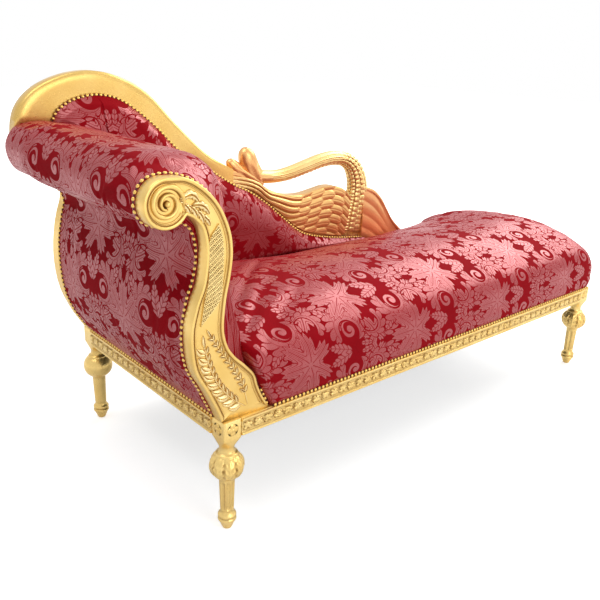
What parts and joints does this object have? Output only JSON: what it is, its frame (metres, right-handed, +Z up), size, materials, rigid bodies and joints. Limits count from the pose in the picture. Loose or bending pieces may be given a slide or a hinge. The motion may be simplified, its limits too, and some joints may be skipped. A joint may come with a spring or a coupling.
{
  "type": "chaise longue",
  "caption": "Gilt carved day bed with a scrolled head arm, a domed back that runs into a swan, and a long crowned damask seat.",
  "frame": {"origin": "centre of the overall box, on the floor", "axes": "+Z up, +X from the head end to the foot end, +Y to the carved back; the low open side faces -Y"},
  "size_m": [1.8552, 0.772, 1.0474],
  "materials": {
    "gilt_wood": "carved hardwood under burnished gold leaf",
    "beech": "plain sawn beech",
    "damask": "crimson damask with scrolling leaves",
    "stuffing": "foam and felt stuffing",
    "jute": "jute webbing and hessian",
    "cambric": "black bottom cloth"
  },
  "bodies": {
    "root": {"arm_cover": "damask", "arm_rail_lower": "beech", "arm_roll_former": "beech", "arm_scroll_front": "gilt_wood", "arm_stuffing": "stuffing", "back_cover": "damask", "back_outside_cover": "damask", "back_post_head": "beech", "back_post_mid": "beech", "back_post_wing": "beech", "back_stuffing": "stuffing", "back_tack_rail": "beech", "brace_back_foot": "beech", "brace_back_head": "beech", "brace_front_foot": "beech", "brace_front_head": "beech", "crest_rail": "gilt_wood", "dust_cover": "cambric", "leg_back_foot": "gilt_wood", "leg_back_head": "gilt_wood", "leg_front_foot": "gilt_wood", "leg_front_head": "gilt_wood", "rail_back": "gilt_wood", "rail_foot": "gilt_wood", "rail_front": "gilt_wood", "rail_head": "gilt_wood", "seat_cover": "damask", "seat_foam": "stuffing", "seat_hessian": "jute", "stile_back_head": "gilt_wood", "stretcher_foot": "beech", "stretcher_head": "beech", "swan_breast": "gilt_wood", "swan_neck": "gilt_wood", "swan_tail": "gilt_wood", "swan_wing": "gilt_wood", "webbing_cross_1": "jute", "webbing_cross_2": "jute", "webbing_cross_3": "jute", "webbing_cross_4": "jute", "webbing_cross_5": "jute", "webbing_cross_6": "jute", "webbing_cross_7": "jute", "webbing_cross_8": "jute", "webbing_cross_9": "jute", "webbing_long_1": "jute", "webbing_long_2": "jute", "webbing_long_3": "jute", "webbing_long_4": "jute"}
  },
  "joints": []
}
